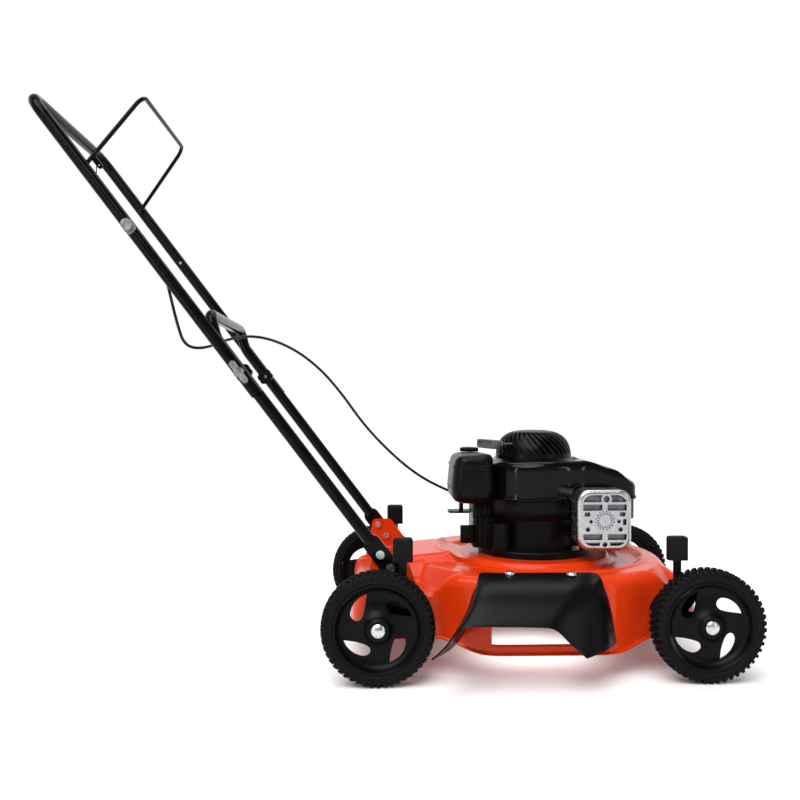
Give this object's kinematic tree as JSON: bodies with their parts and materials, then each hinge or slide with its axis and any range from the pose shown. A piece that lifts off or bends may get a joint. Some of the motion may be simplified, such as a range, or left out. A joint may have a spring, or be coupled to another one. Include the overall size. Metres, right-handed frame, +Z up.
{
  "type": "rotary lawn mower",
  "caption": "Walk-behind rotary push mower with folding handle, stop bail and cable, side discharge chute, vertical-shaft engine, blade and height-adjustable wheels",
  "frame": {"origin": "on the ground at the centre of the overall box", "axes": "+X is forwards, +Y is the mower's left, +Z is up; the middle plane lies at y = 0.022 m"},
  "size_m": [1.3304, 0.621, 1.0701],
  "materials": {
    "deck": "gloss orange-red enamel on pressed steel",
    "handle_brackets": "gloss orange-red enamel",
    "handle_bolts": "zinc plated",
    "discharge_chute": "matte black",
    "chute_bolts": "zinc plated",
    "height_quadrants": "black enamel",
    "lower_handle": "gloss black enamel tube",
    "middle_tubes": "gloss black enamel tube",
    "upper_handle": "gloss black enamel tube",
    "splice_bolts": "zinc plated",
    "fold_bolts": "zinc plated",
    "fold_knobs": "matte black",
    "bail": "black enamel rod",
    "cable_upper": "black cable casing",
    "cable_free": "black cable casing",
    "crankcase": "cast, painted black",
    "engine_bolts": "zinc plated",
    "oil_cap": "matte black",
    "cylinder": "cast",
    "cylinder_head": "cast",
    "spark_plug": "plated",
    "ignition_coil": "potted coil",
    "blower_housing": "gloss black",
    "recoil_cover": "ribbed satin black",
    "starter_pulley": "nylon",
    "starter_rope": "braided",
    "starter_grip": "dark grey",
    "fuel_tank": "satin black",
    "fuel_cap": "matte black",
    "brake_lever": "plated",
    "carburettor": "cast",
    "air_filter_cover": "matte black",
    "air_filter_element": "pleated paper",
    "muffler": "pressed steel",
    "muffler_guard": "galvanised, perforated",
    "crankshaft": "forged and ground",
    "flywheel": "cast",
    "blade_adapter": "cast",
    "blade": "black enamel on spring steel",
    "blade_bolt": "plated",
    "tyre_rear_right": "moulded tread",
    "rim_rear_right": "matte black",
    "axle_bolt_rear_right": "zinc plated",
    "height_lever_rear_right": "black enamel on spring steel",
    "lever_grip_rear_right": "matte black",
    "tyre_rear_left": "moulded tread",
    "rim_rear_left": "matte black",
    "axle_bolt_rear_left": "zinc plated",
    "height_lever_rear_left": "black enamel on spring steel",
    "lever_grip_rear_left": "matte black",
    "tyre_front_right": "moulded tread",
    "rim_front_right": "matte black",
    "axle_bolt_front_right": "zinc plated",
    "height_lever_front_right": "black enamel on spring steel",
    "lever_grip_front_right": "matte black",
    "tyre_front_left": "moulded tread",
    "rim_front_left": "matte black",
    "axle_bolt_front_left": "zinc plated",
    "height_lever_front_left": "black enamel on spring steel",
    "lever_grip_front_left": "matte black"
  },
  "bodies": {
    "chassis": {"deck": "deck", "handle_brackets": "handle_brackets", "handle_bolts": "handle_bolts", "discharge_chute": "discharge_chute", "chute_bolts": "chute_bolts", "height_quadrants": "height_quadrants", "lower_handle": "lower_handle", "fold_bolts": "fold_bolts", "fold_knobs": "fold_knobs", "cable_free": "cable_free", "crankcase": "crankcase", "engine_bolts": "engine_bolts", "cylinder": "cylinder", "cylinder_head": "cylinder_head", "spark_plug": "spark_plug", "ignition_coil": "ignition_coil", "blower_housing": "blower_housing", "recoil_cover": "recoil_cover", "fuel_tank": "fuel_tank", "carburettor": "carburettor", "air_filter_cover": "air_filter_cover", "air_filter_element": "air_filter_element", "muffler": "muffler", "muffler_guard": "muffler_guard"},
    "handle": {"middle_tubes": "middle_tubes", "upper_handle": "upper_handle", "splice_bolts": "splice_bolts", "cable_upper": "cable_upper"},
    "bail": {"bail": "bail"},
    "crank": {"crankshaft": "crankshaft", "flywheel": "flywheel", "blade_adapter": "blade_adapter", "blade": "blade", "blade_bolt": "blade_bolt"},
    "starter_pulley": {"starter_pulley": "starter_pulley"},
    "starter_grip": {"starter_grip": "starter_grip", "starter_rope": "starter_rope"},
    "fuel_cap": {"fuel_cap": "fuel_cap"},
    "oil_cap": {"oil_cap": "oil_cap"},
    "brake_lever": {"brake_lever": "brake_lever"},
    "lever_rear_right": {"height_lever_rear_right": "height_lever_rear_right", "lever_grip_rear_right": "lever_grip_rear_right", "axle_bolt_rear_right": "axle_bolt_rear_right"},
    "wheel_rear_right": {"tyre_rear_right": "tyre_rear_right", "rim_rear_right": "rim_rear_right"},
    "lever_rear_left": {"height_lever_rear_left": "height_lever_rear_left", "lever_grip_rear_left": "lever_grip_rear_left", "axle_bolt_rear_left": "axle_bolt_rear_left"},
    "wheel_rear_left": {"tyre_rear_left": "tyre_rear_left", "rim_rear_left": "rim_rear_left"},
    "lever_front_right": {"height_lever_front_right": "height_lever_front_right", "lever_grip_front_right": "lever_grip_front_right", "axle_bolt_front_right": "axle_bolt_front_right"},
    "wheel_front_right": {"tyre_front_right": "tyre_front_right", "rim_front_right": "rim_front_right"},
    "lever_front_left": {"height_lever_front_left": "height_lever_front_left", "lever_grip_front_left": "lever_grip_front_left", "axle_bolt_front_left": "axle_bolt_front_left"},
    "wheel_front_left": {"tyre_front_left": "tyre_front_left", "rim_front_left": "rim_front_left"}
  },
  "joints": [
    {"name": "handle_fold", "type": "hinge", "parent": "chassis", "child": "handle", "pos_m": [-0.2765, 0.022, 0.554], "axis": [0, 1, 0], "range_deg": [0, 115], "deforming": ["cable_free"]},
    {"name": "bail_close", "type": "hinge", "parent": "handle", "child": "bail", "pos_m": [-0.56061, 0.022, 0.92966], "axis": [0, -1, 0], "range_deg": [0, 66], "stiffness_Nm_per_rad": 0.5, "springref_deg": -22.92},
    {"name": "brake_lever_turn", "type": "hinge", "parent": "chassis", "child": "brake_lever", "pos_m": [0.192, 0.084, 0.278], "axis": [0, -1, 0], "range_deg": [0, 24]},
    {"name": "crank_spin", "type": "hinge", "parent": "chassis", "child": "crank", "pos_m": [0.298, 0.022, 0.08], "axis": [0, 0, 1], "continuous": true},
    {"name": "starter_pull", "type": "slide", "parent": "chassis", "child": "starter_grip", "axis": [-1, 0, 0], "range_m": [0, 0.085], "stiffness_N_per_m": 40, "springref_m": -0.05},
    {"name": "starter_pulley_spin", "type": "hinge", "parent": "chassis", "child": "starter_pulley", "pos_m": [0.298, 0.022, 0.414], "axis": [0, 0, 1], "range_deg": [-110, 5]},
    {"name": "fuel_cap_turn", "type": "hinge", "parent": "chassis", "child": "fuel_cap", "pos_m": [0.166, 0.037, 0.4], "axis": [0, 0, 1], "range_deg": [0, 120]},
    {"name": "oil_cap_turn", "type": "hinge", "parent": "chassis", "child": "oil_cap", "pos_m": [0.22, -0.052, 0.25], "axis": [0, 0, 1], "range_deg": [0, 120]},
    {"name": "height_rear_right", "type": "hinge", "parent": "chassis", "child": "lever_rear_right", "pos_m": [0.0065, -0.212, 0.105], "axis": [0, 1, 0], "range_deg": [-15, 15]},
    {"name": "roll_rear_right", "type": "hinge", "parent": "lever_rear_right", "child": "wheel_rear_right", "pos_m": [-0.0275, -0.241, 0.1015], "axis": [0, 1, 0], "continuous": true},
    {"name": "height_rear_left", "type": "hinge", "parent": "chassis", "child": "lever_rear_left", "pos_m": [0.0065, 0.256, 0.105], "axis": [0, 1, 0], "range_deg": [-15, 15]},
    {"name": "roll_rear_left", "type": "hinge", "parent": "lever_rear_left", "child": "wheel_rear_left", "pos_m": [-0.0275, 0.285, 0.1015], "axis": [0, 1, 0], "continuous": true},
    {"name": "height_front_right", "type": "hinge", "parent": "chassis", "child": "lever_front_right", "pos_m": [0.5285, -0.212, 0.105], "axis": [0, 1, 0], "range_deg": [-15, 15]},
    {"name": "roll_front_right", "type": "hinge", "parent": "lever_front_right", "child": "wheel_front_right", "pos_m": [0.5625, -0.241, 0.1015], "axis": [0, 1, 0], "continuous": true},
    {"name": "height_front_left", "type": "hinge", "parent": "chassis", "child": "lever_front_left", "pos_m": [0.5285, 0.256, 0.105], "axis": [0, 1, 0], "range_deg": [-15, 15]},
    {"name": "roll_front_left", "type": "hinge", "parent": "lever_front_left", "child": "wheel_front_left", "pos_m": [0.5625, 0.285, 0.1015], "axis": [0, 1, 0], "continuous": true}
  ],
  "couplings": [
    {"joint": "brake_lever_turn", "follows": "bail_close", "ratio": 0.36},
    {"joint": "starter_pulley_spin", "follows": "starter_pull", "rad_per_m": -21.8}
  ]
}
